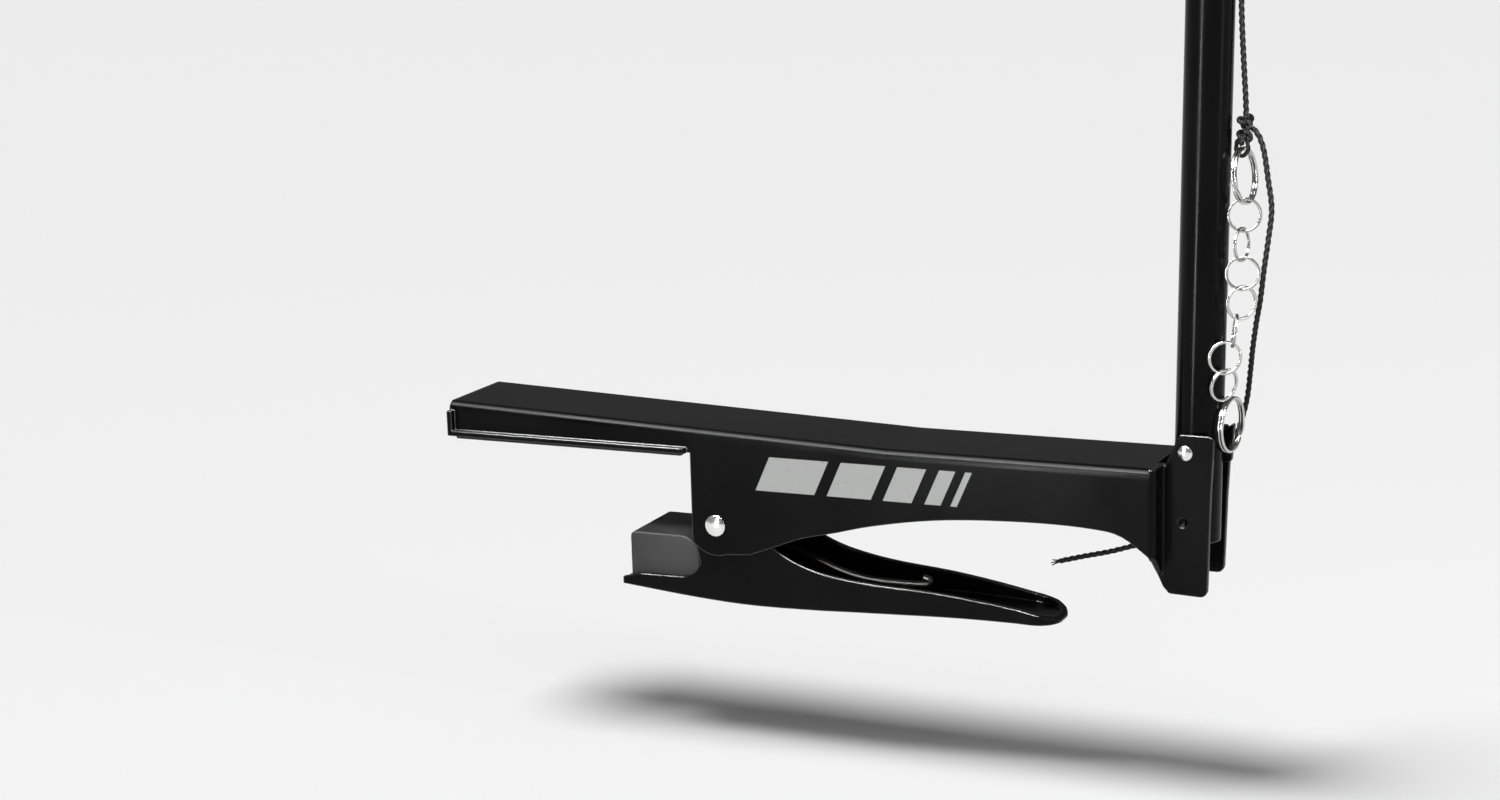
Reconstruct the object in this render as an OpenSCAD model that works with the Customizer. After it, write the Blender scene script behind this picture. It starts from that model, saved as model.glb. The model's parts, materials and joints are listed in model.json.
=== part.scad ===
// Spring clamp that holds a table tennis net post on the edge of a table.
// Origin: top edge of the table's side, in the middle of the clamp's width.
// +X points away from the table, +Y along the table's side line, +Z up.

/* [Arm] */
// Thickness of the arm's sheet steel
sheet_t = 1.5; // [1.2:0.1:1.6]
// Width of the arm across its two cheeks
arm_width = 32; // [31:0.5:34]
// Reach of the upper jaw over the table top
jaw_reach = 79; // [60:1:90]
// Distance from the table's side to the step down to the fork
arm_length = 137.3; // [136:0.1:137.5]
// Width of the lip that runs along the jaw's bottom edges
lip_width = 2; // [1.5:0.1:3]

/* [Jaw] */
// Thickness of the table top that the jaw grips
board_t = 25; // [24:0.5:25]
// Thickness of the pad under the upper jaw
upper_pad_t = 1; // [0.8:0.1:1.2]

/* [Lever] */
// Thickness of the lever's sheet steel
lever_t = 1.5; // [1.2:0.1:1.6]
// Half width of the lever at the jaw end
lever_half = 14; // [13.6:0.1:14]
// Diameter of the pivot pin
pin_d = 4; // [3.6:0.1:4.4]

/* [Post] */
// Outer diameter of the post tube
post_d = 13; // [12.5:0.1:13]
// Wall thickness of the post tube
post_wall = 1.2; // [1:0.1:1.4]
// Height of the tube's top above the table
post_top = 149; // [145:0.5:152]
// Outward lean of the post in degrees
post_lean = 1; // [0.5:0.1:1.2]

/* [Chain] */
// Outer diameter of a small chain ring
small_ring_d = 9.3; // [9.2:0.05:9.3]
// Outer diameter of a large split ring
large_ring_d = 15.4; // [15.3:0.05:15.4]
// Thickness of a small ring
small_wire = 0.7; // [0.6:0.05:0.7]
// Diameter of the wire of a large split ring
large_wire = 0.9; // [0.8:0.05:0.9]
// Diameter of the tension cord
cord_d = 1.6; // [1.4:0.1:1.6]

/* [Hidden] */
$fn = 48;
eps = 0.01;
far = 400;

// Arm
arm_half = arm_width / 2;
cheek_in = arm_half - sheet_t;
bend_r = 2.5;
seam = 0.02;
top_line = [[-jaw_reach, 11.1], [60, 6], [arm_length, 6]];
lobe_r = 9;
lip_z = upper_pad_t;

// Pivot and pins
pivot = [7.5, -20];
pin_clear = 0.05;
rivet_d = 3;

// Fork
fork_gap = post_d / 2 + 0.15;
fork_half = fork_gap + sheet_t;
step_r = 1.8;
step_x = arm_length - step_r;
hook_y = 2.6;

// Post
post_foot = [144.8, 0];
rivet_at = [143.4, 9.4];
dent_at = [142.8, -9.9];
post_bottom = -16;
dent_r = 1.6;
post_r = post_d / 2;
bore_r = post_r - post_wall;
cap_r = post_r + 0.1;
cap_h = 7.5;
groove_depth = 2.4;
groove_w = 2.2;
core_r = 3;
core_half = cap_r - 0.1;
core_top = cap_h - groove_depth;

// ---------- helpers ----------

function unit(v) = v / norm(v);

// Point at parameter t on the smooth curve that runs from b to c past a and d
function spline_point(a, b, c, d, t) =
    0.5 * ((2 * b) + (c - a) * t + (2 * a - 5 * b + 4 * c - d) * t * t
           + (3 * b - a - 3 * c + d) * t * t * t);

// Smooth curve through the points, with n steps between each two
function smooth(pts, n) = [
    for (i = [0:len(pts) - 2])
        for (j = [0:n - (i == len(pts) - 2 ? 0 : 1)])
            spline_point(pts[max(i - 1, 0)], pts[i], pts[i + 1],
                         pts[min(i + 2, len(pts) - 1)], j / n)
];

// Points of an arc in the plane of the outline
function arc(c, r, a0, a1, n) = [
    for (i = [0:n]) c + r * [cos(a0 + (a1 - a0) * i / n), sin(a0 + (a1 - a0) * i / n)]
];

// Direction of a path at its point i
function heading(path, i) = unit(path[min(i + 1, len(path) - 1)] - path[max(i - 1, 0)]);

// Closed tube along a path that never runs parallel to Y
module sweep(path, r, sides = 8) {
    count = len(path);
    rings = [
        for (i = [0:count - 1])
            let (t = heading(path, i), a = unit(cross(t, [0, 1, 0])), b = cross(t, a))
            for (k = [0:sides - 1])
                path[i] + r * (cos(360 * k / sides) * a + sin(360 * k / sides) * b)
    ];
    walls = [
        for (i = [0:count - 2], k = [0:sides - 1])
            let (m = (k + 1) % sides)
            [i * sides + k, i * sides + m, (i + 1) * sides + m, (i + 1) * sides + k]
    ];
    ends = [
        [for (k = [sides - 1:-1:0]) k],
        [for (k = [0:sides - 1]) (count - 1) * sides + k]
    ];
    polyhedron(points = rings, faces = concat(walls, ends), convexity = 10);
}

// Side outline in X and Z, made w wide in Y about the middle plane
module side_cut(outline, w) {
    rotate([90, 0, 0])
        linear_extrude(height = w, center = true)
            polygon(outline);
}

// Round bar along Y at a point of the side view
module cross_bar(at, d, y0, y1) {
    translate([at[0], y1, at[1]])
        rotate([90, 0, 0])
            cylinder(d = d, h = y1 - y0);
}

// Low domed rivet head on the +Y side of the plane y
module rivet_head(at, d, y) {
    translate([at[0], y, at[1]])
        rotate([-90, 0, 0])
            rotate_extrude()
                intersection() {
                    translate([0, -d * 0.8])
                        circle(r = d, $fn = 96);
                    square([d / 2, d]);
                }
}

// The post's own frame: its axis is Z, and its rivet's height is kept
module on_post() {
    translate([post_foot[0], 0, 0])
        rotate([0, post_lean, 0])
            children();
}

function on_post_x(z) = post_foot[0] + z * tan(post_lean);

// ---------- arm ----------

// Lower edge of a cheek, from the table's side out to the step
cheek_bottom = concat(
    arc(pivot, lobe_r, 214, 290, 8),
    smooth([[18, -27.9], [26, -24.8], [34.4, -21.6], [44.3, -19.2], [55, -16.4], [70, -13.6],
            [85, -12], [105, -11.2], [120, -11.6], [128, -13.1], [step_x, -18.2]], 4)
);

// Side outline of one cheek with its fork plate, whose outer edge is given
function arm_outline(fork_edge) = concat(
    [for (i = [0:len(top_line) - 2]) top_line[i] - [0, bend_r + 0.2]],
    [[step_x, 6 - bend_r - 0.2], [step_x, 6], [arm_length, 6], [138, 5.6], [139.1, 8.5]],
    fork_edge,
    [[arm_length - sheet_t, -24.6], [step_x, -22]],
    [for (i = [len(cheek_bottom) - 1:-1:0]) cheek_bottom[i]],
    [[0, lip_z], [-jaw_reach, lip_z]]
);

front_edge = concat(
    arc([142.6, 12.9], 1.5, 150, 90, 3),
    arc([149.6, 12.7], 1.6, 90, 10, 4),
    [[150.4, -2]],
    arc([147.7, -28.3], 2, 0, -84, 4),
    arc([139.7, -28.6], 1.4, -92, -155, 3),
    [[137.5, -28.2]]
);

// The rear plate reaches further out and is shorter
rear_edge = concat(
    arc([142.6, 12.9], 1.5, 150, 90, 3),
    [[150.8, 14.4], [151.6, 13.4], [151.9, 7], [151.2, -5]],
    arc([148.6, -25.2], 1.9, 0, -90, 4),
    arc([140.4, -25.3], 1.8, -92, -150, 3)
);

// Hook tab: the ring's wire sits in the notch, under the horn
hook_outline = concat(
    [[150.9, 5], [152.6, 5], [153.3, 5.8], [153.55, 9.2]],
    arc([153.5, 15.3], 0.45, 0, 120, 4),
    [[151, 13.9]]
);
notch_outline = concat([[160, 7.7]], arc([152.3, 8.45], 0.75, 270, 90, 8), [[160, 9.2]]);

// Strip of the rear plate that is curled round the post and ends in the hook tab
module hook_curl() {
    curl_r = post_r + 0.25;
    difference() {
        union() {
            rotate([90, 0, 0])
                translate([0, 0, -hook_y - sheet_t])
                    linear_extrude(height = sheet_t)
                        polygon(hook_outline);
            translate([on_post_x(10), 0, 5])
                rotate([0, 0, 24])
                    rotate_extrude(angle = 60)
                        translate([curl_r, 0])
                            square([sheet_t, 8.9]);
        }
        translate([0, hook_y + 0.8, 0])
            side_cut(notch_outline, 3.6);
    }
}

// Quarter ring of sheet, as seen from above, in the quadrant that s points to
module bend_plan(at, s) {
    translate(at)
        intersection() {
            difference() {
                circle(r = step_r);
                circle(r = step_r - sheet_t);
            }
            translate([min(0, s[0]) * step_r, min(0, s[1]) * step_r])
                square(step_r);
        }
}

// Sheet seen from above on the -Y side: cheek, step towards the middle and fork plate
module sheet_plan() {
    step_y = -fork_half + sheet_t - step_r;
    translate([-jaw_reach, -arm_half])
        square([jaw_reach + step_x, sheet_t]);
    bend_plan([step_x, -arm_half + step_r], [1, -1]);
    translate([arm_length - sheet_t, -arm_half + step_r])
        square([sheet_t, step_y + arm_half - step_r]);
    bend_plan([arm_length - sheet_t + step_r, step_y], [-1, 1]);
    translate([arm_length - sheet_t + step_r, -fork_half])
        square([30, sheet_t]);
}

// Section with two round upper corners, from z = low up to z = high
module top_section(half, r, low, high) {
    translate([-half, low])
        square([2 * half, high - low - r]);
    translate([-half + r, low])
        square([2 * (half - r), high - low]);
    for (s = [-1, 1])
        translate([s * (half - r), high - r])
            circle(r = r);
}

// Slope of stretch i of the top line, in degrees
function slope(i) =
    let (run = top_line[i + 1] - top_line[i])
        atan2(run[1], run[0]);

// Bent sheet of the arm's top, inset all round, from x0 to x1 along a line that starts at point a
module top_sheet(a, angle, x0, x1, inset) {
    translate([a[0], 0, a[1]])
        rotate([0, -angle, 0])
            rotate([90, 0, 90])
                translate([0, 0, x0])
                    linear_extrude(height = x1 - x0)
                        difference() {
                            top_section(arm_half - inset, bend_r - inset, -bend_r - 0.5, -inset);
                            top_section(cheek_in + inset, bend_r - sheet_t + inset,
                                        -bend_r - 1, -sheet_t + inset);
                        }
}

// Top of the arm: two straight stretches, and a hidden strip inside their joint
module arm_top() {
    last = len(top_line) - 2;
    for (i = [0:last])
        top_sheet(top_line[i], slope(i), i == 0 ? 0 : seam,
                  norm(top_line[i + 1] - top_line[i]) - (i == last ? step_r : seam), 0);
    for (i = [1:last])
        top_sheet(top_line[i], (slope(i - 1) + slope(i)) / 2, -1, 1, 0.1);
}

// Lip along the jaw's bottom edge and up its end, on the -Y side
module lip() {
    out = arm_half + lip_width;
    translate([0, 0, lip_z])
        linear_extrude(height = sheet_t)
            union() {
                translate([-jaw_reach, -out])
                    square([jaw_reach - 1 - lip_width, out - cheek_in]);
                translate([-1 - lip_width, -arm_half])
                    square([lip_width, sheet_t]);
                intersection() {
                    translate([-1 - lip_width, -arm_half])
                        circle(r = lip_width);
                    translate([-1 - lip_width, -out])
                        square(lip_width);
                }
            }
    translate([-jaw_reach, -out, lip_z])
        cube([sheet_t, lip_width + eps, 7.5]);
}

// Pressed dent that locks the post: its inner bulge and its outer hollow
module dent_bulge() {
    intersection() {
        translate([dent_at[0], -fork_gap - 1.05, dent_at[1]])
            sphere(r = dent_r);
        translate([dent_at[0] - 3, -fork_half + 0.4, dent_at[1] - 3])
            cube([6, 4, 6]);
    }
}

module dent_hollow() {
    translate([dent_at[0], -fork_half - 0.6, dent_at[1]])
        sphere(r = dent_r - 0.1);
}

// Cheek, step, fork plate and lip on the -Y side
module half_arm(fork_edge) {
    difference() {
        union() {
            intersection() {
                translate([0, 0, -50])
                    linear_extrude(height = 100)
                        sheet_plan();
                side_cut(arm_outline(fork_edge), arm_width + 2);
            }
            lip();
            dent_bulge();
        }
        dent_hollow();
        step_cut();
    }
}

// Below the step's slanted lower edge, from the cheek down to the fork plate
module step_cut() {
    translate([step_x - 0.2, 0, 0])
        rotate([90, 0, 90])
            linear_extrude(height = step_r + 1.2)
                polygon([[-arm_half - 1, -17.5], [-fork_half, -24.8], [-fork_half, -60],
                         [-arm_half - 1, -60]]);
}

module arm_bracket() {
    color("#151515")
        difference() {
            union() {
                half_arm(front_edge);
                mirror([0, 1, 0])
                    half_arm(rear_edge);
                hook_curl();
                arm_top();
            }
            cross_bar(pivot, pin_d + 2 * pin_clear, -far, far);
            cross_bar(rivet_at, rivet_d + 2 * pin_clear, -far, far);
        }
}

module upper_jaw_pad() {
    color("#202020")
        translate([-jaw_reach + 2.5, -arm_half - 1, 0])
            cube([jaw_reach - 5, arm_width + 2, upper_pad_t]);
}

// ---------- lever ----------

lever_tip = 107;
floor_line = smooth([[-24, -40.6], [0, -42.7], [20, -43.5], [50, -42.7], [80, -42.2],
                     [lever_tip, -42.8]], 4);

// Edge of the lever's walls: jaw finger, throat, lobe round the pivot, then the handle
wall_line = concat(
    [[-24, -38.6], [-18, -37.2]],
    arc([-5, -30.5], 6.5, 270, 345, 6),
    arc(pivot, lobe_r - 0.5, 190, 40, 10),
    smooth([[17.5, -18], [23.7, -25], [29.2, -28.6], [36.2, -31.3], [44.2, -33], [54.3, -34.2],
            [70, -35.2], [85, -36.9], [98, -38.9]], 3),
    [[102.5, -40], [105.5, -41.2], [lever_tip, -42.3]]
);

function lever_outline(rise) = concat(
    wall_line,
    [for (i = [len(floor_line) - 1:-1:0]) floor_line[i] + [0, rise]]
);

// Lever seen from above, inset by a distance: it narrows to a round tip
module lever_plan(inset) {
    half = lever_half - inset;
    tip_half = 9.4 - inset;
    tip_r = 7.5;
    polygon([[-40, -half], [40, -half], [62, -half + 1.6], [96, -tip_half], [96, tip_half],
             [62, half - 1.6], [40, half], [-40, half]]);
    translate([95.9, -tip_half])
        square([lever_tip - 95.9 - inset - tip_r, 2 * tip_half]);
    translate([95.9, -tip_half + tip_r])
        square([lever_tip - 95.9 - inset, 2 * (tip_half - tip_r)]);
    for (s = [-1, 1])
        translate([lever_tip - inset - tip_r, s * (tip_half - tip_r)])
            circle(r = tip_r);
}

module lever() {
    color("#151515")
        difference() {
            intersection() {
                side_cut(lever_outline(0), 2 * lever_half);
                translate([0, 0, -60])
                    linear_extrude(height = 80)
                        lever_plan(0);
            }
            intersection() {
                side_cut(concat([[-40, 20], [130, 20], [130, -41.3]],
                                [for (i = [len(floor_line) - 1:-1:0]) floor_line[i] + [0, lever_t]],
                                [[-40, -38.3]]), 2 * lever_half + 2);
                translate([0, 0, -60])
                    linear_extrude(height = 90)
                        lever_plan(lever_t);
            }
            cross_bar(pivot, pin_d + 2 * pin_clear, -far, far);
        }
}

lever_in = lever_half - lever_t;

// Rubber block between the lever's walls, with a round inner end
pad_outline = concat(
    [[-22, -board_t - 1], [-21, -board_t]],
    arc([-5.8, -board_t - 6], 6, 90, 0, 8),
    [[0.2, -38.4]],
    [for (x = [-1.8, -6, -12, -18, -22]) [x, lookup(x, floor_line) + lever_t + 0.05]]
);

module lower_jaw_pad() {
    color("#1c1c1c")
        side_cut(pad_outline, 2 * (lever_in - 0.2));
}

// ---------- pivot and spring ----------

module pivot_pin() {
    color("#d9d9d9") {
        cross_bar(pivot, pin_d, -arm_half - 0.05, arm_half + 0.05);
        rivet_head(pivot, 6.2, arm_half + 0.05);
        mirror([0, 1, 0])
            rivet_head(pivot, 6.2, arm_half + 0.05);
    }
}

module pivot_washers() {
    color("#f0f0ea")
        for (s = [0, 1])
            mirror([0, s, 0])
                difference() {
                    cross_bar(pivot, 9, lever_half + 0.05, cheek_in - 0.05);
                    cross_bar(pivot, pin_d + 0.2, lever_half - 1, cheek_in + 1);
                }
}

module spring_sleeve() {
    color("#b8b8b8")
        difference() {
            cross_bar(pivot, 7, -lever_in + 0.1, lever_in - 0.1);
            cross_bar(pivot, pin_d + 0.2, -far, far);
        }
}

splarge_wire = 2;
spring_r = 5;
spring_turns = 6;
spring_pitch = 2.2;

// Coil round the sleeve, with one leg along the lever and one up to the arm's top
spring_path = concat(
    smooth([[62.5, 6.6, -36.6], [64.6, 6.6, -37.2], [63, 6.6, -38.6], [54, 6.6, -38.9],
            [44, 6.6, -38.4], [34, 6.6, -35.8], [22, 6.6, -31], [12, 6.6, -26.6]], 2),
    [
        for (i = [0:16 * spring_turns + 7])
            let (a = 270 - 360 * i / 16)
            [pivot[0] + spring_r * cos(a), 6.6 - spring_pitch * i / 16,
             pivot[1] + spring_r * sin(a)]
    ],
    [for (x = [14, 20, 26, 32, 38, 44]) [x, -7.6, -14.9 + (x - 7.5) * 0.50]]
);

module torsion_spring() {
    color("#9a9a9a")
        sweep(spring_path, splarge_wire / 2);
}

// ---------- post ----------

module post_tube() {
    color("#181818")
        difference() {
            on_post()
                difference() {
                    translate([0, 0, post_bottom])
                        cylinder(d = post_d, h = post_top - post_bottom);
                    translate([0, 0, post_bottom - 1])
                        cylinder(r = bore_r, h = post_top - post_bottom + 2);
                }
            cross_bar(rivet_at, rivet_d + 2 * pin_clear, -far, far);
            cross_bar(dent_at, 2 * dent_r + 0.4, -far, far);
        }
}

module post_cap() {
    color("#161616")
        on_post()
            translate([0, 0, post_top])
                difference() {
                    union() {
                        cylinder(r = cap_r, h = cap_h - 2.5);
                        translate([0, 0, cap_h - 2.5])
                            cylinder(r = cap_r - 2.5, h = 2.5);
                        translate([0, 0, cap_h - 2.5])
                            rotate_extrude()
                                translate([cap_r - 2.5, 0])
                                    circle(r = 2.5);
                        translate([0, 0, -8])
                            cylinder(r = bore_r - 0.05, h = 8 + eps);
                    }
                    cord_groove();
                }
}

// Slot across the cap that the cord lies in, left by a rounded core
module cord_groove() {
    rotate([90, 0, 0])
        linear_extrude(height = groove_w, center = true)
            difference() {
                translate([-cap_r - 1, eps])
                    square([2 * cap_r + 2, cap_h + 1]);
                translate([-core_half, -1])
                    square([2 * core_half, core_top - core_r + 1]);
                translate([-core_half + core_r, -1])
                    square([2 * (core_half - core_r), core_top + 1]);
                for (s = [-1, 1])
                    translate([s * (core_half - core_r), core_top - core_r])
                        circle(r = core_r);
            }
}

module post_rivet() {
    color("#d9d9d9") {
        cross_bar(rivet_at, rivet_d, -fork_half - 0.05, fork_half + 0.05);
        rivet_head(rivet_at, 4, fork_half + 0.05);
        mirror([0, 1, 0])
            rivet_head(rivet_at, 4, fork_half + 0.05);
    }
}

// ---------- chain ----------

small_r = (small_ring_d - small_wire) / 2;
large_r = (large_ring_d - large_wire) / 2;

// Rings from the knot down: centre, turn of the face about Z from -Y, and lean of the face upward
knot_ring_place = [[156, 2.3, 83.1], 82, 6];
hook_ring_place = [[153.1, 2.3, 15.7], 81, -1];
small_ring_places = [
    [[156.7, 0.1, 73], 26, 3],
    [[156.3, -1, 65.3], 79, 2],
    [[156.8, -1.7, 57.7], 13, 3],
    [[156.7, -2.1, 49.9], 46, 0],
    [[155.1, -2.9, 42.4], -73, 8],
    [[152.8, -3.7, 35.1], 31, -2],
    [[152.4, -3, 27.6], -125, 9]
];

module at_place(place) {
    translate(place[0])
        rotate([0, 0, place[1]])
            rotate([90 - place[2], 0, 0])
                children();
}

module small_ring(n) {
    color("#cfcfcf")
        at_place(small_ring_places[n - 1])
            rotate_extrude()
                translate([small_r, 0])
                    circle(d = small_wire, $fn = 24);
}

// Split ring: two turns of wire that lie flat against each other
module split_ring(place) {
    color("#cfcfcf")
        at_place(place)
            rotate_extrude()
                translate([large_r, 0])
                    union() {
                        for (s = [-1, 1])
                            translate([0, s * large_wire / 2])
                                circle(d = large_wire, $fn = 24);
                        square([large_wire * 0.8, large_wire], center = true);
                    }
}

module hook_ring() { split_ring(hook_ring_place); }
module chain_ring_1() { small_ring(1); }
module chain_ring_2() { small_ring(2); }
module chain_ring_3() { small_ring(3); }
module chain_ring_4() { small_ring(4); }
module chain_ring_5() { small_ring(5); }
module chain_ring_6() { small_ring(6); }
module chain_ring_7() { small_ring(7); }
module knot_ring() { split_ring(knot_ring_place); }

// ---------- cord ----------

knot_r = 2;
ring_top = [155.2, 2.4, 90.4];
hitch_at = [156.3, 2, 97.3];

// Knot with the loop of cord that holds the first ring's wire
module ring_knot() {
    color("#101010")
        union() {
            translate([155.8, 2.4, 93.2])
                sphere(r = knot_r);
            translate(ring_top)
                rotate([0, 0, knot_ring_place[1]])
                    rotate([0, 90, 0])
                        rotate_extrude()
                            translate([1.95, 0])
                                circle(r = 0.6, $fn = 24);
        }
}

module hitch_knot() {
    color("#101010")
        translate(hitch_at)
            sphere(r = knot_r);
}

// Loose tail: beside the chain, behind the fork, and out below the arm
tail_route = [
    [157.95, 2.1, 95.95], [159.8, 2.1, 93.6], [161.2, 2, 89.5], [162.4, 2, 82], [163.4, 2, 74.5],
    [162.6, 2, 66.3], [161.5, 2.2, 58.2], [160.4, 3.2, 50.1], [158.9, 5, 43], [157.4, 7.6, 35.6],
    [156.2, 10.4, 29], [154.8, 12.6, 20.6], [152.6, 13.6, 12.7], [149, 13.6, 2],
    [146, 13.6, -7.5], [142.6, 13.9, -15.5], [137.5, 15, -21.2], [131, 14.9, -22.3],
    [124, 14.8, -23.6], [116, 14.8, -26.2], [108, 15, -28.4], [101, 15, -30.4]
];

module cord_tail() {
    color("#101010")
        sweep(smooth(tail_route, 3), cord_d / 2);
}

// Taut cord: stopper knot, groove of the cap, then down the outside of the post
bed_r = core_r + cord_d / 2 + 0.05;
bed_side = core_half - core_r;
cap_cord = [
    for (p = concat(
        [[-bed_side - bed_r - 1.4, -6], [-bed_side - bed_r - 0.6, -3], [-bed_side - bed_r, 0.2]],
        arc([-bed_side, core_top - core_r], bed_r, 180, 90, 6),
        arc([bed_side, core_top - core_r], bed_r, 90, 0, 6)))
        [on_post_x(post_top) + p[0], 0, post_top + p[1]]
];
cord_route = concat(cap_cord, [[155, 0.2, 144], [155, 0.5, 134], [155.2, 0.8, 124],
                               [155.7, 1.3, 113], [156.2, 1.8, 103.5], [156.3, 2, 99.7]]);

module tension_cord() {
    color("#101010")
        sweep(cord_route, cord_d / 2);
}

module stopper_knot() {
    color("#101010")
        translate(cap_cord[0] - [0.1, 0, knot_r + 0.15])
            sphere(r = knot_r);
}

arm_bracket();
upper_jaw_pad();
lever();
lower_jaw_pad();
pivot_pin();
pivot_washers();
spring_sleeve();
torsion_spring();
post_tube();
post_cap();
post_rivet();
hook_ring();
chain_ring_1();
chain_ring_2();
chain_ring_3();
chain_ring_4();
chain_ring_5();
chain_ring_6();
chain_ring_7();
knot_ring();
ring_knot();
hitch_knot();
cord_tail();
tension_cord();
stopper_knot();
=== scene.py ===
"""Finishes the table tennis net clamp: camera, light, materials, cord, knots, rings and pads."""
import json
import math

import bmesh
import bpy
from mathutils import Matrix, Vector


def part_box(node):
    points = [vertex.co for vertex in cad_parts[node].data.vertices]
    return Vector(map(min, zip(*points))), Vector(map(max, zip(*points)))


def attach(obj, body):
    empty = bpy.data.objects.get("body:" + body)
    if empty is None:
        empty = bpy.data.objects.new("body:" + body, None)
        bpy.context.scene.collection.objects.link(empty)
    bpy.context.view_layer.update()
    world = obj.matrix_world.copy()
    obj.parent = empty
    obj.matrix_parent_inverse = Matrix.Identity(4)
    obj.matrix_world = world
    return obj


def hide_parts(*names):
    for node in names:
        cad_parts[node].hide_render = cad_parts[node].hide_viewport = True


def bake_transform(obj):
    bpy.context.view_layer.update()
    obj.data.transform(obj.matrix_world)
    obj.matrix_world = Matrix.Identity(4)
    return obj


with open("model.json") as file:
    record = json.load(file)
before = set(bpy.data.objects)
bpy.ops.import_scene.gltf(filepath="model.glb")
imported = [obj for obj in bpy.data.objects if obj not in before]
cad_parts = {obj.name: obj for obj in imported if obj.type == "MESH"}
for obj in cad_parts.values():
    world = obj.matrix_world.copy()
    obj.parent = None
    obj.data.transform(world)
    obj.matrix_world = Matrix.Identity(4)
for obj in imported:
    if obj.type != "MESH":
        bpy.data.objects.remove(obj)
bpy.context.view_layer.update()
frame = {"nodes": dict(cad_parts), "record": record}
NODES = frame["nodes"]
MM = 0.001


# ---------- camera ----------

CAMERA_AT = (0.328533, -0.694670, 0.179786)
YAW, PITCH, ROLL = 24.4837, -12.2585, 1.6054
LENS, SENSOR = 64.735, 36


def add_camera():
    """Camera in front of the clamp and slightly above it, with a 65 mm lens."""
    turn = (Matrix.Rotation(math.radians(YAW), 3, "Z")
            @ Matrix.Rotation(math.radians(PITCH), 3, "X")
            @ Matrix.Rotation(math.radians(ROLL), 3, "Y"))
    right, forward, up = turn.col
    data = bpy.data.cameras.new("camera")
    data.sensor_width = SENSOR
    data.lens = LENS
    data.clip_start = 0.02
    data.clip_end = 30
    camera = bpy.data.objects.new("camera", data)
    axes = Matrix((right, up, -forward)).transposed()
    camera.matrix_world = Matrix.Translation(CAMERA_AT) @ axes.to_4x4()
    bpy.context.collection.objects.link(camera)
    bpy.context.scene.camera = camera


add_camera()


# ---------- node helpers ----------

# How far a rounded normal has to turn from the face's own to count as an edge, as cosines
EDGE_STARTS, EDGE_FULL = 0.97, 0.80
BEVEL_SAMPLES = 6


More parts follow.
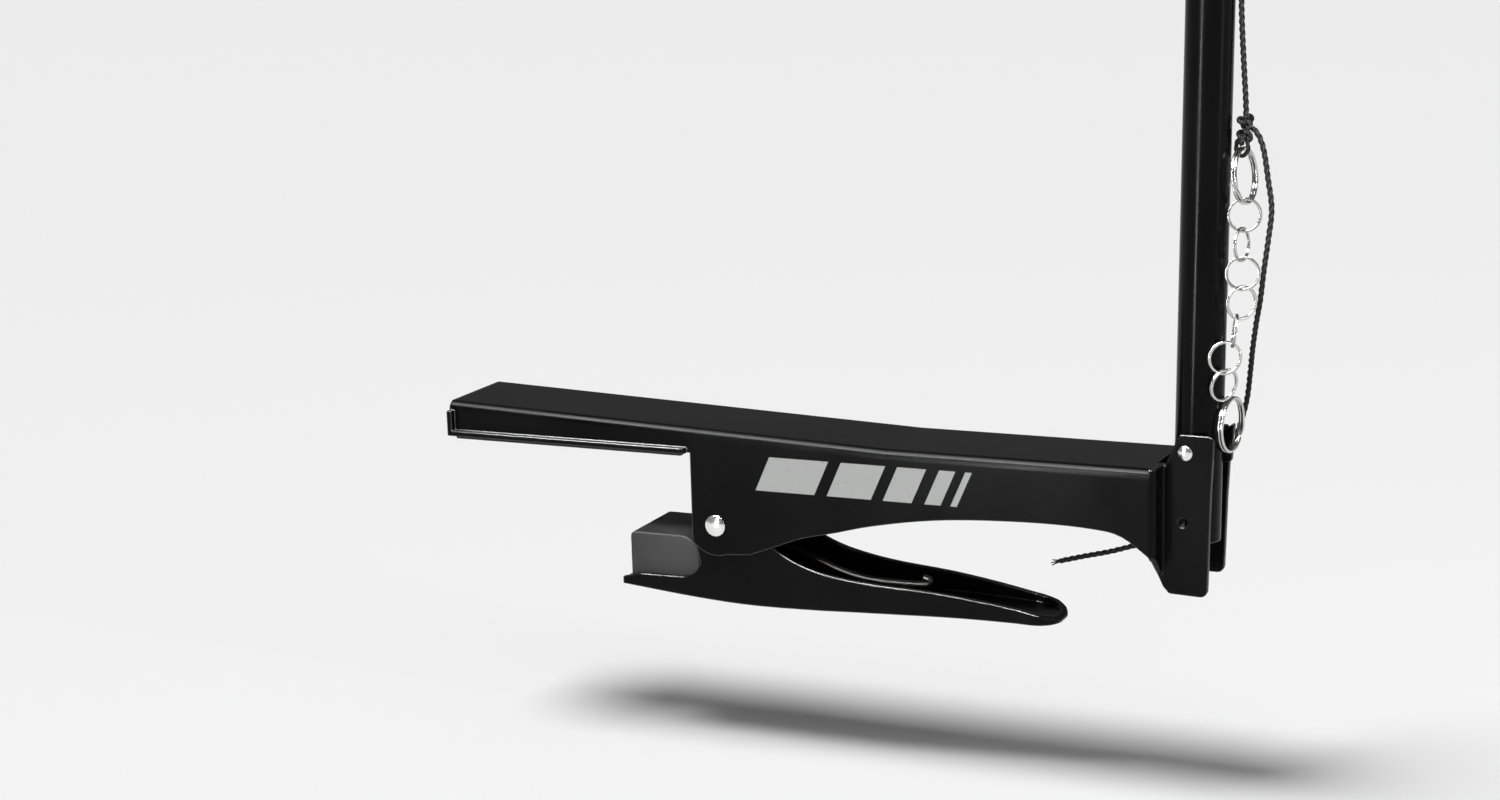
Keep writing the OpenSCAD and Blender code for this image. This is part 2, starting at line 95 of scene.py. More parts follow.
class Shader:
    """Small wrapper that builds one node material. Noise scales are per metre."""

    def __init__(self, name):
        self.material = bpy.data.materials.new(name)
        self.material.use_nodes = True
        self.tree = self.material.node_tree
        self.tree.nodes.clear()
        self.output = self.add("ShaderNodeOutputMaterial")
        self.surface = self.add("ShaderNodeBsdfPrincipled")
        self.link(self.surface.outputs["BSDF"], self.output.inputs["Surface"])
        self.coords = self.add("ShaderNodeTexCoord").outputs["Object"]

    def add(self, kind, **settings):
        """A new node, with its settings."""
        node = self.tree.nodes.new(kind)
        for key, value in settings.items():
            setattr(node, key, value)
        return node

    def link(self, source, target):
        """Links an output to an input."""
        self.tree.links.new(source, target)

    def set(self, **values):
        """Sets the surface's own sockets, with underscores for spaces."""
        for key, value in values.items():
            self.surface.inputs[key.replace("_", " ")].default_value = value

    def noise(self, scale, detail=3.0, rough=0.5):
        """Noise over the object's own coordinates."""
        node = self.add("ShaderNodeTexNoise")
        node.inputs["Scale"].default_value = scale
        node.inputs["Detail"].default_value = detail
        node.inputs["Roughness"].default_value = rough
        self.link(self.coords, node.inputs["Vector"])
        return node.outputs["Fac"]

    def ramp(self, factor, stops, interpolation="LINEAR"):
        """Colour ramp through (position, colour) stops."""
        node = self.add("ShaderNodeValToRGB")
        node.color_ramp.interpolation = interpolation
        elements = node.color_ramp.elements
        while len(elements) > 1:
            elements.remove(elements[0])
        elements[0].position, elements[0].color = stops[0]
        for place, colour in stops[1:]:
            elements.new(place).color = colour
        self.link(factor, node.inputs["Fac"])
        return node.outputs["Color"]

    def span(self, value, low, high, out_low=0.0, out_high=1.0):
        """Maps a value's range low to high onto another range, clamped."""
        node = self.add("ShaderNodeMapRange")
        node.inputs["From Min"].default_value = low
        node.inputs["From Max"].default_value = high
        node.inputs["To Min"].default_value = out_low
        node.inputs["To Max"].default_value = out_high
        self.link(value, node.inputs["Value"])
        return node.outputs["Result"]

    def math(self, operation, a, b):
        """Math node on two values, each a socket or a number."""
        node = self.add("ShaderNodeMath", operation=operation)
        for socket, value in zip(node.inputs, (a, b)):
            if isinstance(value, (int, float)):
                socket.default_value = value
            else:
                self.link(value, socket)
        return node.outputs["Value"]

    def mix(self, factor, a, b):
        """Mixes two colours, each a socket or an RGBA tuple."""
        node = self.add("ShaderNodeMix", data_type="RGBA")
        self.link(factor, node.inputs["Factor"])
        for socket, value in ((node.inputs["A"], a), (node.inputs["B"], b)):
            if isinstance(value, tuple):
                socket.default_value = value
            else:
                self.link(value, socket)
        return node.outputs["Result"]

    def rounded(self, radius):
        """Normal of the surface with its sharp edges rounded."""
        bevel = self.add("ShaderNodeBevel", samples=BEVEL_SAMPLES)
        bevel.inputs["Radius"].default_value = radius
        return bevel.outputs["Normal"]

    def edges(self, radius):
        """1 along sharp edges and 0 on the faces between them."""
        flat = self.add("ShaderNodeNewGeometry").outputs["Normal"]
        dot = self.add("ShaderNodeVectorMath", operation="DOT_PRODUCT")
        self.link(self.rounded(radius), dot.inputs[0])
        self.link(flat, dot.inputs[1])
        return self.span(dot.outputs["Value"], EDGE_STARTS, EDGE_FULL)

    def bump(self, height, distance, strength, edge=None):
        """Bump from a height, on top of edges rounded to the given radius."""
        node = self.add("ShaderNodeBump")
        node.inputs["Distance"].default_value = distance
        node.inputs["Strength"].default_value = strength
        self.link(height, node.inputs["Height"])
        if edge:
            self.link(self.rounded(edge), node.inputs["Normal"])
        self.link(node.outputs["Normal"], self.surface.inputs["Normal"])


def grey(value, tint=1.0):
    """Grey as an RGBA tuple, with its blue scaled by tint."""
    return (value, value, value * tint, 1)


# ---------- materials ----------

# The print: ends of the slanted row, the bars' places along it, and its height on the cheek
BARS_FROM, BARS_TO = 0.024, 0.085
BARS = [(0.0, 0.30), (0.36, 0.58), (0.64, 0.78), (0.84, 0.92), (0.965, 1.0)]
BARS_LOW, BARS_HIGH = -0.0085, 0.0015
BARS_SLANT = 0.45
CHEEK_FRONT = -0.01595
PRINT_WHITE = (0.66, 0.67, 0.66, 1)


def coated(name, dark, rough, edge):
    """Black coat: fine orange peel, cloudy gloss, rubbed pinpoints, and glossier worn edges.

    Gives the shader and its base colour, which isn't linked to the surface yet.
    """
    s = Shader(name)
    patches = s.noise(38, 4)
    peel = s.noise(1900, 2)
    specks = s.noise(900, 5, 0.7)
    rubbed = s.span(specks, 0.72, 0.76)
    base = s.ramp(patches, [(0.3, grey(dark, 1.06)), (0.75, grey(dark * 1.7, 1.05))])
    rim = s.edges(edge)
    worn = s.math("MULTIPLY", rim, s.span(specks, 0.35, 0.65, 0.2, 0.9))
    rubbed = s.math("MAXIMUM", rubbed, worn)
    s.link(rim, s.surface.inputs["Coat Weight"])
    s.link(s.rounded(edge), s.surface.inputs["Coat Normal"])
    s.link(s.span(patches, 0.3, 0.7, rough, rough + 0.1), s.surface.inputs["Roughness"])
    s.set(Specular_IOR_Level=0.07, Coat_Roughness=0.12, Coat_IOR=1.8)
    s.bump(peel, 0.00003, 0.4, edge)
    return s, s.mix(rubbed, base, grey(0.05))


def black_paint():
    """Coat of arm and lever, with a plain row of slanted white bars on the front cheek."""
    s, base = coated("black_paint", 0.0035, 0.19, 0.0007)
    axes = s.add("ShaderNodeSeparateXYZ")
    s.link(s.coords, axes.inputs["Vector"])
    x, y, z = axes.outputs
    slanted = s.math("SUBTRACT", x, s.math("MULTIPLY", z, BARS_SLANT))
    along = s.span(slanted, BARS_FROM, BARS_TO)
    stops = [(0.0, grey(0))]
    for start, end in BARS:
        stops += [(start, grey(1)), (end, grey(0))]
    bars = s.ramp(along, stops, "CONSTANT")
    low = s.math("GREATER_THAN", z, BARS_LOW)
    high = s.math("LESS_THAN", z, BARS_HIGH)
    front = s.math("LESS_THAN", y, CHEEK_FRONT)
    band = s.math("MULTIPLY", s.math("MULTIPLY", low, high), front)
    inked = s.math("MULTIPLY", bars, band)
    wear = s.span(s.noise(1300, 4, 0.7), 0.62, 0.7, 0.97, 0.6)
    s.link(s.mix(s.math("MULTIPLY", inked, wear), base, PRINT_WHITE),
           s.surface.inputs["Base Color"])
    return s.material


def black_gloss():
    """The post's coat, glossier than the arm's."""
    s, base = coated("black_gloss", 0.003, 0.14, 0.0005)
    s.link(base, s.surface.inputs["Base Color"])
    return s.material


def plated_steel(name, value, rough, edge=None, streak=1.0):
    """Bright plated metal with faint clouding and fine drawn scratches."""
    s = Shader(name)
    cloud = s.noise(220, 4)
    scratches = s.noise(5200, 2)
    s.link(s.ramp(cloud, [(0.25, grey(value * 0.82, 0.97)), (0.7, grey(value, 0.98))]),
           s.surface.inputs["Base Color"])
    s.set(Metallic=1.0)
    s.link(s.span(cloud, 0.3, 0.7, rough, rough + 0.12), s.surface.inputs["Roughness"])
    s.bump(scratches, 0.00001 * streak, 0.4, edge)
    return s.material


def black_rubber():
    """Dull moulded rubber with a little dust on it."""
    s = Shader("black_rubber")
    dust = s.noise(70, 5, 0.6)
    grain = s.noise(3200, 3)
    s.link(s.ramp(dust, [(0.35, grey(0.010)), (0.8, grey(0.026))]), s.surface.inputs["Base Color"])
    s.link(s.span(dust, 0.3, 0.7, 0.55, 0.75), s.surface.inputs["Roughness"])
    s.bump(grain, 0.00006, 0.6)
    return s.material


def felt_pad():
    """Matt felt with short fibres."""
    s = Shader("felt_pad")
    fibre = s.noise(1800, 6, 0.75)
    s.link(s.ramp(fibre, [(0.3, grey(0.006)), (0.75, grey(0.030))]), s.surface.inputs["Base Color"])
    s.set(Roughness=0.95, Sheen_Weight=0.15, Sheen_Roughness=0.6)
    s.bump(fibre, 0.00025, 0.9)
    return s.material


def black_plastic():
    """Fine-grained moulded plastic with a slight haze."""
    s = Shader("black_plastic")
    haze = s.noise(120, 4)
    grain = s.noise(2600, 2)
    s.link(s.ramp(haze, [(0.3, grey(0.007)), (0.75, grey(0.014))]), s.surface.inputs["Base Color"])
    s.link(s.span(haze, 0.3, 0.7, 0.3, 0.42), s.surface.inputs["Roughness"])
    s.set(Specular_IOR_Level=0.4)
    s.bump(grain, 0.00003, 0.4, 0.0004)
    return s.material


def nylon():
    """Off-white nylon of the pivot's washers."""
    s = Shader("nylon")
    haze = s.noise(300, 4)
    s.link(s.ramp(haze, [(0.3, (0.62, 0.6, 0.53, 1)), (0.8, (0.8, 0.79, 0.73, 1))]),
           s.surface.inputs["Base Color"])
    s.link(s.span(haze, 0.3, 0.7, 0.4, 0.55), s.surface.inputs["Roughness"])
    s.bump(haze, 0.00002, 0.4)
    return s.material


def black_cord():
    """Dark yarn: fine filaments along the strands and a few pale fibre ends."""
    s = Shader("black_cord")
    fibre = s.noise(9000, 4, 0.7)
    tufts = s.noise(2600, 3, 0.6)
    base = s.ramp(tufts, [(0.35, grey(0.003)), (0.8, grey(0.008))])
    s.link(s.mix(s.span(fibre, 0.66, 0.72), base, grey(0.05)), s.surface.inputs["Base Color"])
    s.set(Roughness=0.6, Specular_IOR_Level=0.3, Sheen_Weight=0.03, Sheen_Roughness=0.5)
    s.bump(fibre, 0.00006, 0.8)
    return s.material


MATERIALS = {
    "black_paint": black_paint(),
    "black_gloss": black_gloss(),
    "felt_pad": felt_pad(),
    "black_rubber": black_rubber(),
    "bright_steel": plated_steel("bright_steel", 0.86, 0.12, 0.0002),
    "nylon": nylon(),
    "zinc_steel": plated_steel("zinc_steel", 0.55, 0.35),
    "spring_steel": plated_steel("spring_steel", 0.16, 0.3, None, 3.0),
    "black_plastic": black_plastic(),
    "ring_steel": plated_steel("ring_steel", 0.58, 0.12),
    "black_cord": black_cord(),
}

for part in frame["record"]["subparts"]:
    data = NODES[part["node"]].data
    data.materials.clear()
    data.materials.append(MATERIALS[part["material_slot"]])


# ---------- mesh helpers ----------

def mm(*values):
    """Vector from three lengths in millimetres."""
    return Vector(values) * MM


def spline(points, steps):
    """Smooth curve through the points, with some steps between each two."""
    ends = [points[0], *points, points[-1]]
    path = []
    for a, b, c, d in zip(ends, ends[1:], ends[2:], ends[3:]):
        for i in range(steps):
            t = i / steps
            path.append(0.5 * (2 * b + (c - a) * t + (2 * a - 5 * b + 4 * c - d) * t * t
                               + (3 * b - a - 3 * c + d) * t ** 3))
    path.append(points[-1].copy())
    return path


def path_length(path):
    """Length of a path of straight steps."""
    return sum((b - a).length for a, b in zip(path, path[1:]))


def respaced(path, step):
    """The path again, with points one step apart."""
    along = [0.0]
    for a, b in zip(path, path[1:]):
        along.append(along[-1] + (b - a).length)
    count = max(2, math.ceil(along[-1] / step))
    result = []
    k = 0
    for i in range(count + 1):
        s = along[-1] * i / count
        while k < len(path) - 2 and along[k + 1] < s:
            k += 1
        t = (s - along[k]) / (along[k + 1] - along[k])
        result.append(path[k].lerp(path[k + 1], min(t, 1)))
    return result


def frames_along(path, closed):
    """A tangent and a normal at each point, which don't spin about the path."""
    count = len(path)
    tangents = []
    for i in range(count):
        before = path[i - 1] if closed or i else path[0]
        after = path[(i + 1) % count] if closed or i < count - 1 else path[-1]
        tangents.append((after - before).normalized())
    normal = tangents[0].orthogonal()
    normals = []
    for t in tangents:
        normal = (normal - t * normal.dot(t)).normalized()
        normals.append(normal)
    if closed:
        turn = normals[-1].angle(normals[0])
        if tangents[0].dot(normals[-1].cross(normals[0])) < 0:
            turn = -turn
        normals = [Matrix.Rotation(turn * i / count, 3, t) @ n
                   for i, (n, t) in enumerate(zip(normals, tangents))]
    return tangents, normals


class Solid:
    """Collects the vertices and faces of one piece."""

    def __init__(self):
        self.verts = []
        self.faces = []

    def tube(self, path, section, closed=False):
        """Tube whose section(i) gives (angle, radius) for each side at point i."""
        tangents, normals = frames_along(path, closed)
        rows = []
        for i, point in enumerate(path):
            across = tangents[i].cross(normals[i])
            rows.append([point + (normals[i] * math.cos(a) + across * math.sin(a)) * r
                         for a, r in section(i)])
        self.loft(rows, closed, path)

    def loft(self, rows, closed, centres):
        """Skin over rows of points, with its two ends capped unless it is closed."""
        base, sides, count = len(self.verts), len(rows[0]), len(rows)
        for row in rows:
            self.verts += row
        for i in range(count if closed else count - 1):
            a, b = base + i * sides, base + (i + 1) % count * sides
            for k in range(sides):
                m = (k + 1) % sides
                self.faces.append((a + k, a + m, b + m, b + k))
        if not closed:
            for i in (0, count - 1):
                middle = len(self.verts)
                self.verts.append(centres[i].copy())
                for k in range(sides):
                    self.faces.append((middle, base + i * sides + k,
                                       base + i * sides + (k + 1) % sides))

    def piece(self, name, slot, body, *nodes):
        """The collected mesh as a piece that stands for some CAD nodes; with body None it joins no
        body.
        """
        mesh = bpy.data.meshes.new(name)
        mesh.from_pydata(self.verts, [], self.faces)
        return finished(name, mesh, slot, body, *nodes)


def finished(name, mesh, slot, body, *nodes):
    """A smooth, outward-facing mesh as a piece with its material, slot, body and CAD nodes."""
    work = bmesh.new()
    work.from_mesh(mesh)
    bmesh.ops.recalc_face_normals(work, faces=work.faces)
    work.to_mesh(mesh)
    work.free()
    mesh.shade_smooth()
    mesh.materials.clear()
    mesh.materials.append(MATERIALS[slot])
    piece = bpy.data.objects.new(name, mesh)
    bpy.context.collection.objects.link(piece)
    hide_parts(*nodes)
    if body:
        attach(piece, body)
    return piece


def round_section(radius, sides):
    """Plain round section for a tube."""
    ring = [(2 * math.pi * k / sides, radius) for k in range(sides)]
    return lambda i: ring


# ---------- cord and knots ----------

CORD_R = 0.8 * MM
CORD_STEP = 0.35 * MM
LAY = 6 * MM
STRANDS = 3
# How far a strand's middle is from the cord's, and the strand's own radius, as shares
STRAND_OUT, STRAND_R = 0.52, 0.48
CORD_SIDES = 24


def laid_section(path, radius, turns=None):
    """Section of a laid cord, whose strands turn once in each lay, or turns times in all."""
    step = path_length(path) / (len(path) - 1)
    per_point = 2 * math.pi * (step / LAY if turns is None else turns / len(path))
    offset, strand = radius * STRAND_OUT, radius * STRAND_R
    sector = 2 * math.pi / STRANDS

    def section(i):
        result = []
        for k in range(CORD_SIDES):
            angle = 2 * math.pi * k / CORD_SIDES
            near = (angle - per_point * i + sector / 2) % sector - sector / 2
            reach = strand ** 2 - (offset * math.sin(near)) ** 2
            result.append((angle, offset * math.cos(near) + math.sqrt(max(reach, 0))))
        return result
    return section


def cord_along(points):
    """Laid cord along a route, and its path."""
    path = respaced(spline(points, 6), CORD_STEP)
    solid = Solid()
    solid.tube(path, laid_section(path, CORD_R))
    return solid, path


def add_loop(solid, centre, half_width, half_height, side, radius):
    """Closed loop of cord in the upright plane that holds the direction side."""
    count = 60
    path = []
    for i in range(count):
        a = 2 * math.pi * i / count
        path.append(centre + side * (half_width * math.cos(a))
                    + Vector((0, 0, half_height * math.sin(a))))
    solid.tube(path, laid_section(path, radius, turns=2), closed=True)


def add_knot(solid, centre, size, turn, radius):
    """Tight overhand knot: a cord that winds over and under itself three times."""
    count = 132
    path = []
    for i in range(count):
        t = 2 * math.pi * i / count
        at = Vector((math.sin(t) + 2 * math.sin(2 * t),
                     math.cos(t) - 2 * math.cos(2 * t),
                     -1.25 * math.sin(3 * t)))
        path.append(centre + turn @ (at * size))
    solid.tube(path, laid_section(path, radius, turns=4), closed=True)


def turned(x, y, z):
    """Rotation by three angles in degrees, about X, then Y, then Z."""
    return (Matrix.Rotation(math.radians(z), 3, "Z") @ Matrix.Rotation(math.radians(y), 3, "Y")
            @ Matrix.Rotation(math.radians(x), 3, "X"))


# The loose cord, from the upper knot down to its tip
TAIL_ROUTE = [
    mm(157.95, 2.1, 95.95), mm(159.8, 2.1, 93.6), mm(161.2, 2, 89.5), mm(162.4, 2, 82),
    mm(163.4, 2, 74.5), mm(162.6, 2, 66.3), mm(161.5, 2.2, 58.2), mm(160.4, 3.2, 50.1),
    mm(158.9, 5, 43), mm(157.4, 7.6, 35.6), mm(156.2, 10.4, 29), mm(154.8, 12.6, 20.6),
    mm(152.6, 13.6, 12.7), mm(149, 13.6, 2), mm(146, 13.6, -7.5), mm(142.6, 13.9, -15.5),
    mm(137.5, 15, -21.2), mm(131, 14.9, -22.3), mm(124, 14.8, -23.6), mm(116, 14.8, -26.2),
    mm(108, 15, -28.4), mm(101, 15, -30.4),
]
FRAY = 3.2 * MM
FRAY_SUNK = 0.6 * MM
FRAY_SPREAD = [mm(0, 0.5, 0.45), mm(0, -0.55, 0.1), mm(0, 0.1, -0.6)]
# Radius of a frayed strand at its root and how much thinner it is at its end, in millimetres
FRAY_R, FRAY_TAPER = 0.30, 0.16
FRAY_SIDES = 8


def frayed_section(count):
    """Round section of a frayed strand that gets thinner towards its end."""
    def section(i):
        radius = (FRAY_R - FRAY_TAPER * i / count) * MM
        return [(2 * math.pi * k / FRAY_SIDES, radius) for k in range(FRAY_SIDES)]
    return section


def add_tail():
    """Loose end of the cord, with its three strands coming apart at the tip."""
    solid, path = cord_along(TAIL_ROUTE)
    tip = path[-1]
    forward = (tip - path[-6]).normalized()
    for spread in FRAY_SPREAD:
        strand = [tip + spread * (0.35 + 1.1 * t * t) + forward * (FRAY * t - FRAY_SUNK)
                  for t in (0, 0.25, 0.5, 0.75, 1)]
        fine = spline(strand, 5)
        solid.tube(fine, frayed_section(len(fine)))
    tail = solid.piece("tail_cord", "black_cord", "chain", "cord_tail")


# Where the post's top meets the cap, and the cap's groove in millimetres
CAP_AT = mm(147.4, 0, 149)
GROOVE_CORE_R, GROOVE_TOP, CAP_HALF = 3, 5.1, 6.5
CORD_ABOVE_GROOVE = 0.85
# The taut run beside the post, from the cap down to the upper knot
TAUT_RUN = [
    mm(155, 0.2, 144), mm(155, 0.5, 134), mm(155.2, 0.8, 124),
    mm(155.7, 1.3, 113), mm(156.2, 1.8, 103.5), mm(156.3, 2, 99),
]


def groove_route():
    """The taut cord's centre line in the cap's groove, from the stopper knot over the top."""
    bed = GROOVE_CORE_R + CORD_ABOVE_GROOVE
    side = CAP_HALF - GROOVE_CORE_R
    route = [(-side - bed - 1.4, -6), (-side - bed - 0.6, -3), (-side - bed, 0.2)]
    for centre, first in ((-side, 180), (side, 90)):
        for i in range(7):
            a = math.radians(first - 15 * i)
            route.append((centre + bed * math.cos(a),
                          GROOVE_TOP - GROOVE_CORE_R + bed * math.sin(a)))
    return [CAP_AT + mm(x, 0, z) for x, z in route]


def add_tension_cord():
    """Taut cord from the stopper knot over the cap and down to the upper knot."""
    route = groove_route() + TAUT_RUN
    solid, path = cord_along(route)
    solid.piece("taut_cord", "black_cord", "arm", "tension_cord")
    stopper = Solid()
    add_knot(stopper, route[0] - mm(0.6, 0, 1.7), size=0.6 * MM, turn=turned(75, 10, 30),
             radius=0.72 * MM)
    stopper.piece("stopper_knot_cord", "black_cord", "arm", "stopper_knot")


# The first ring's turn about Z, in degrees
KNOT_RING_TURN = 82


def add_chain_knots():
    """The two knots above the chain, and the loop that holds its first ring."""
    hitch = Solid()
    add_knot(hitch, mm(156.3, 2, 97.4), size=0.62 * MM, turn=turned(72, -12, 25),
             radius=0.72 * MM)
    hitch.piece("hitch_knot_cord", "black_cord", "chain", "hitch_knot")
    ring_knot = Solid()
    add_knot(ring_knot, mm(155.8, 2.4, 93.4), size=0.66 * MM, turn=turned(65, 8, -40),
             radius=0.74 * MM)
    turn = math.radians(KNOT_RING_TURN)
    ring_axis = Vector((math.sin(turn), -math.cos(turn), 0))
    add_loop(ring_knot, mm(155.25, 2.4, 90.7), half_width=1.7 * MM, half_height=2.3 * MM,
             side=ring_axis, radius=0.62 * MM)
    ring_knot.piece("ring_knot_cord", "black_cord", "chain", "ring_knot")


add_tail()
add_tension_cord()
add_chain_knots()


# ---------- rings ----------

# Each ring from the knot down: node, centre, turn about Z, lean, and where its wire starts
RINGS = [
    ("knot_ring", (156, 2.3, 83.1), KNOT_RING_TURN, 6, 200),
    ("chain_ring_1", (156.7, 0.1, 73), 26, 3, 150),
    ("chain_ring_2", (156.3, -1, 65.3), 79, 2, 10),
    ("chain_ring_3", (156.8, -1.7, 57.7), 13, 3, 330),
    ("chain_ring_4", (156.7, -2.1, 49.9), 46, 0, 60),
    ("chain_ring_5", (155.1, -2.9, 42.4), -73, 8, 180),
    ("chain_ring_6", (152.8, -3.7, 35.1), 31, -2, 20),
    ("chain_ring_7", (152.4, -3, 27.6), -125, 9, 100),
    ("hook_ring", (153.1, 2.3, 15.7), 81, -1, 320),
]
SPLIT_RINGS = ("knot_ring", "hook_ring")
# Ring radius, then half the wire's width and thickness
LARGE_WIRE = (7.25 * MM, 0.46 * MM, 0.43 * MM)
SMALL_WIRE = (4.3 * MM, 0.37 * MM, 0.21 * MM)
# How far round the ring the wire takes to pass from one turn to the other
JOG = math.radians(34)
TURN_STEPS = 84
WIRE_SIDES = 14
# Below 1, the wire's section is squarer than an ellipse
SQUARENESS = 0.8
# The wire's scale at its end and one step from it
CUT_END, CUT_NEXT = 0.55, 0.85
# Share of the thickness that leaves a gap between the two turns
GAP_SHARE = 0.97


def squared(value):
    """A sine or cosine drawn out towards a square section."""
    return math.copysign(abs(value) ** SQUARENESS, value)


def wound_ring(node, centre, turn, lean, start, radius, half_wide, half_thick):
    """Ring of flattened wire wound twice, with a jog where one turn passes to the other."""
    place = (Matrix.Translation(mm(*centre)) @ Matrix.Rotation(math.radians(turn), 4, "Z")
             @ Matrix.Rotation(math.radians(90 - lean), 4, "X"))
    steps = 2 * TURN_STEPS
    rows, centres = [], []
    for i in range(steps + 1):
        angle = 4 * math.pi * i / steps
        into = (angle - (2 * math.pi - JOG / 2)) / JOG
        into = min(max(into, 0), 1)
        rise = half_thick * (2 * into * into * (3 - 2 * into) - 1)
        ends = min(i, steps - i)
        thin = CUT_END if ends == 0 else CUT_NEXT if ends == 1 else 1
        a = math.radians(start) + angle
        out = Vector((math.cos(a), math.sin(a), 0))
        centres.append(place @ (out * radius + Vector((0, 0, rise))))
        row = []
        for k in range(WIRE_SIDES):
            b = 2 * math.pi * k / WIRE_SIDES
            wide = half_wide * thin * squared(math.cos(b))
            thick = half_thick * thin * GAP_SHARE * squared(math.sin(b))
            row.append(place @ (out * (radius + wide) + Vector((0, 0, rise + thick))))
        rows.append(row)
    solid = Solid()
    solid.loft(rows, False, centres)
    solid.piece(node + "_wire", "ring_steel", "chain", node)


def add_rings():
    """The chain, with a large split ring at each end."""
    for node, *place in RINGS:
        wound_ring(node, *place, *(LARGE_WIRE if node in SPLIT_RINGS else SMALL_WIRE))


add_rings()


# ---------- spring ----------

# The coil on the pivot, in millimetres
PIVOT_X, PIVOT_Z = 7.5, -20
COIL_R, COIL_PITCH = 5, 2.2
COIL_STEPS = 16
COIL_TURNS = 6.5
COIL_REAR = 6.6
SPRING_R = 1 * MM
SPRING_SIDES = 14
# The leg along the handle, from its bent-back end to the coil
LOWER_LEG = [(62.5, -36.6), (64.6, -37.2), (63, -38.6), (54, -38.9),
             (44, -38.4), (34, -35.8), (22, -31), (12, -26.6)]
# The leg under the web is straight
UPPER_LEG_X = (14, 20, 26, 32, 38, 44)
UPPER_LEG_Y, UPPER_LEG_Z, UPPER_LEG_SLOPE = -7.6, -14.9, 0.5


def add_spring():
    """Torsion spring of round wire: one leg follows the lever and the other the arm."""
    leg = [mm(x, COIL_REAR, z) for x, z in LOWER_LEG]
    coil = []
    for i in range(int(COIL_STEPS * COIL_TURNS)):
        a = math.radians(270 - 360 / COIL_STEPS * i)
        coil.append(mm(PIVOT_X + COIL_R * math.cos(a), COIL_REAR - COIL_PITCH * i / COIL_STEPS,
                       PIVOT_Z + COIL_R * math.sin(a)))
    upper = [mm(x, UPPER_LEG_Y, UPPER_LEG_Z + (x - PIVOT_X) * UPPER_LEG_SLOPE)
             for x in UPPER_LEG_X]
    path = respaced(spline(leg + coil + upper, 5), 0.5 * MM)
    solid = Solid()
    solid.tube(path, round_section(SPRING_R, SPRING_SIDES))
    spring = solid.piece("spring_wire", "spring_steel", None, "torsion_spring")
    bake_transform(spring)


add_spring()


# ---------- pads ----------

FELT_CELLS = (60, 28)
# Share of the felt's thickness left at its rim, how steeply it swells, and its unevenness
RIM_SHARE, SWELL, UNEVEN = 0.72, 14, 0.02


def felt_point(x, y, z, size, middle):
    """A corner of a unit box's grid, swollen to the felt's uneven face."""
    from_rim = 1 - max(abs(x), abs(y)) * 2
    swollen = math.sin(min(1, max(0, from_rim * SWELL)) * math.pi / 2)
    z *= RIM_SHARE + (1 - RIM_SHARE) * swollen
    z *= 1 - UNEVEN * (1 + math.sin(x * 31) * math.cos(y * 17))
    return Vector((x * size.x, y * size.y, z * size.z)) + middle


def add_felt():
    """Thin pad under the upper jaw, with soft rounded edges and a slightly uneven face."""
    low, high = (Vector(corner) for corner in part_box("upper_jaw_pad"))
    size, middle = high - low, (high + low) / 2
    columns, rows = FELT_CELLS
    verts = [felt_point(i / columns - 0.5, j / rows - 0.5, z, size, middle)
             for z in (-0.5, 0.5) for j in range(rows + 1) for i in range(columns + 1)]
    wide = columns + 1
    upper = wide * (rows + 1)
    faces = []
    for base in (0, upper):
        for j in range(rows):
            for i in range(columns):
                k = base + j * wide + i
                faces.append((k, k + 1, k + 1 + wide, k + wide))
    rim = [*range(columns), *range(columns, upper - 1, wide),
           *range(upper - 1, upper - wide, -1), *range(upper - wide, 0, -wide)]
    for a, b in zip(rim, rim[1:] + rim[:1]):
        faces.append((a, b, b + upper, a + upper))
    mesh = bpy.data.meshes.new("felt")
    mesh.from_pydata(verts, [], faces)
    felt = finished("jaw_felt", mesh, "felt_pad", "arm", "upper_jaw_pad")


FLAT_ANGLE, SHARP_ANGLE = math.radians(2), math.radians(40)
WELD = 0.01 * MM
BLOCK_ROUND = 0.5 * MM


def add_block():
    """Moulded rubber block of the lower jaw, with rounded edges."""
    mesh = NODES["lower_jaw_pad"].data.copy()
    work = bmesh.new()
    work.from_mesh(mesh)
    bmesh.ops.remove_doubles(work, verts=work.verts, dist=WELD)
    bmesh.ops.dissolve_limit(work, angle_limit=FLAT_ANGLE, verts=work.verts, edges=work.edges)
    sharp = [e for e in work.edges if len(e.link_faces) == 2
             and e.calc_face_angle() > SHARP_ANGLE]
    bmesh.ops.bevel(work, geom=sharp, offset=BLOCK_ROUND, segments=4, profile=0.5,
                    affect="EDGES", clamp_overlap=True)
    work.to_mesh(mesh)
    work.free()
    block = finished("jaw_block", mesh, "black_rubber", "lever", "lower_jaw_pad")


add_felt()
add_block()


# ---------- floor and light ----------

FLOOR_R, FLOOR_Z, FLOOR_SIDES = 9.0, -0.085, 96
FLOOR_WHITE = 0.82
GLOW = 0.16
SUN_WAY, SUN_POWER, SUN_ANGLE = (0.35, 0.15, -1.0), 3.0, 25


def add_floor():
    """Wide pale floor well below the clamp."""
    mesh = bpy.data.meshes.new("floor")
    angles = [2 * math.pi * i / FLOOR_SIDES for i in range(FLOOR_SIDES)]
    rim = [(FLOOR_R * math.cos(a), FLOOR_R * math.sin(a), FLOOR_Z) for a in angles]
    mesh.from_pydata(rim, [], [tuple(range(FLOOR_SIDES))])
    floor = bpy.data.objects.new("floor", mesh)
    bpy.context.collection.objects.link(floor)
    s = Shader("floor")
    s.set(Base_Color=grey(FLOOR_WHITE), Roughness=0.9, Specular_IOR_Level=0.2)
    mesh.materials.append(s.material)


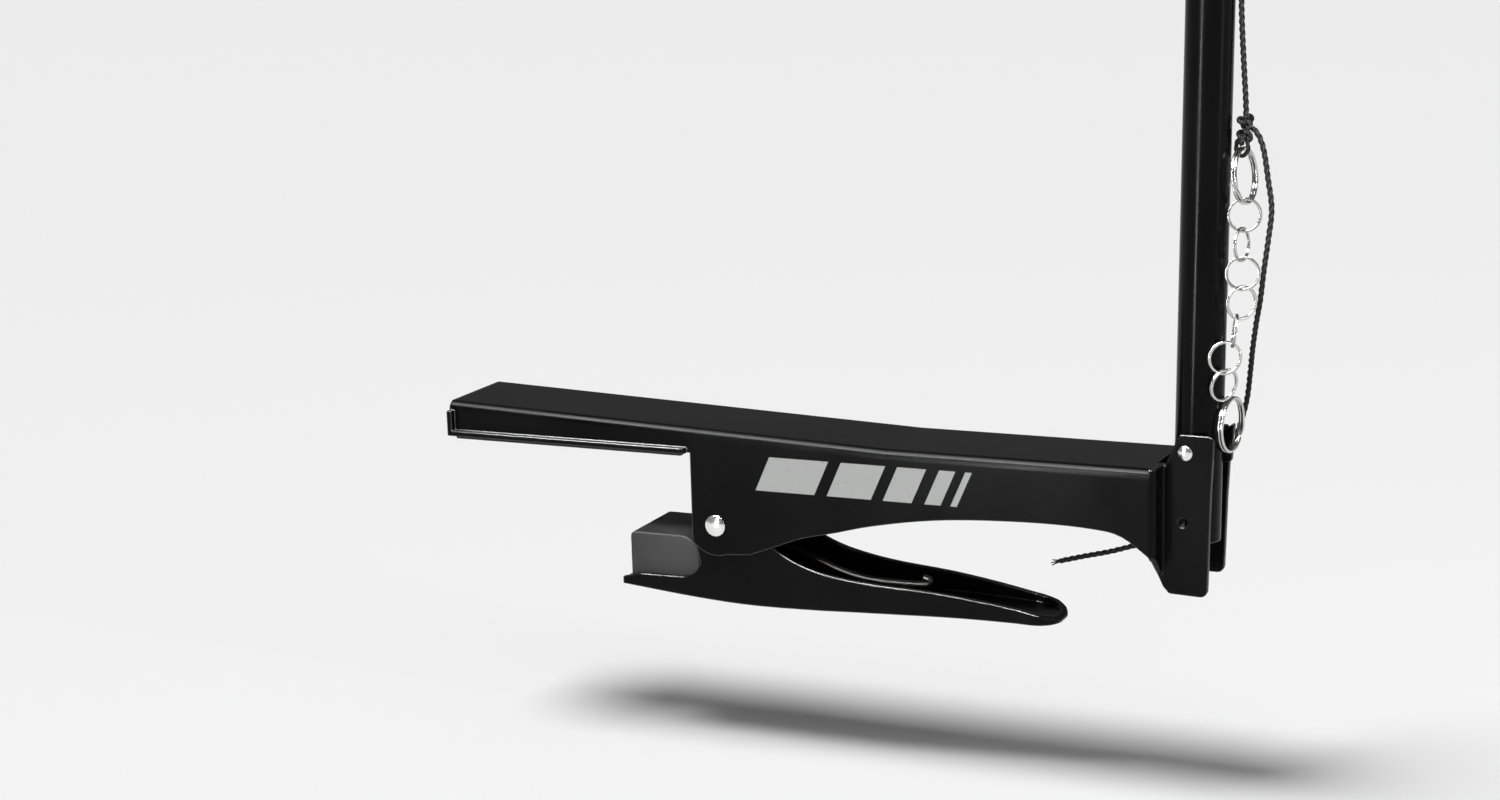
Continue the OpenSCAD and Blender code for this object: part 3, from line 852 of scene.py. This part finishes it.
def add_light(name, place, target, size, power, gloss_only=False):
    """Rectangular light aimed at a target. A gloss-only one is seen in reflections alone."""
    data = bpy.data.lights.new(name, "AREA")
    data.shape = "RECTANGLE"
    data.size, data.size_y = size
    data.energy = power
    lamp = bpy.data.objects.new(name, data)
    lamp.location = place
    aim = Vector(target) - Vector(place)
    lamp.rotation_euler = aim.to_track_quat("-Z", "Y").to_euler()
    lamp.visible_camera = False
    lamp.visible_diffuse = not gloss_only
    bpy.context.collection.objects.link(lamp)


def add_world():
    """White behind the object for the camera, and a dim even glow for everything else."""
    world = bpy.data.worlds.new("studio")
    world.use_nodes = True
    tree = world.node_tree
    glow = tree.nodes["Background"]
    glow.inputs["Color"].default_value = (1, 1, 1, 1)
    glow.inputs["Strength"].default_value = GLOW
    white = tree.nodes.new("ShaderNodeBackground")
    white.inputs["Color"].default_value = (1, 1, 1, 1)
    white.inputs["Strength"].default_value = 1.0
    seen = tree.nodes.new("ShaderNodeLightPath")
    mixed = tree.nodes.new("ShaderNodeMixShader")
    tree.links.new(seen.outputs["Is Camera Ray"], mixed.inputs["Fac"])
    tree.links.new(glow.outputs["Background"], mixed.inputs[1])
    tree.links.new(white.outputs["Background"], mixed.inputs[2])
    tree.links.new(mixed.outputs["Shader"], tree.nodes["World Output"].inputs["Surface"])
    bpy.context.scene.world = world


def add_sun():
    """Soft sun from above."""
    data = bpy.data.lights.new("sun", "SUN")
    data.energy = SUN_POWER
    data.angle = math.radians(SUN_ANGLE)
    lamp = bpy.data.objects.new("sun", data)
    lamp.rotation_euler = Vector(SUN_WAY).to_track_quat("-Z", "Y").to_euler()
    bpy.context.collection.objects.link(lamp)


def add_studio():
    """Floor, glow and lights: streak on the post, bright edges on the arm, and a weak side."""
    add_floor()
    add_world()
    add_sun()
    add_light("strip", place=(-0.047, -0.46, 0.14), target=(0.145, 0, 0.1),
              size=(0.022, 0.44), power=2.2, gloss_only=True)
    add_light("edge", place=(0.02, -0.30, 0.5), target=(0.04, 0, 0.0),
              size=(0.8, 0.12), power=18, gloss_only=True)
    add_light("side", place=(0.75, -0.15, 0.25), target=(0.15, 0, 0.05),
              size=(0.06, 0.6), power=0.6)
    bpy.context.scene.view_settings.view_transform = "Standard"


add_studio()
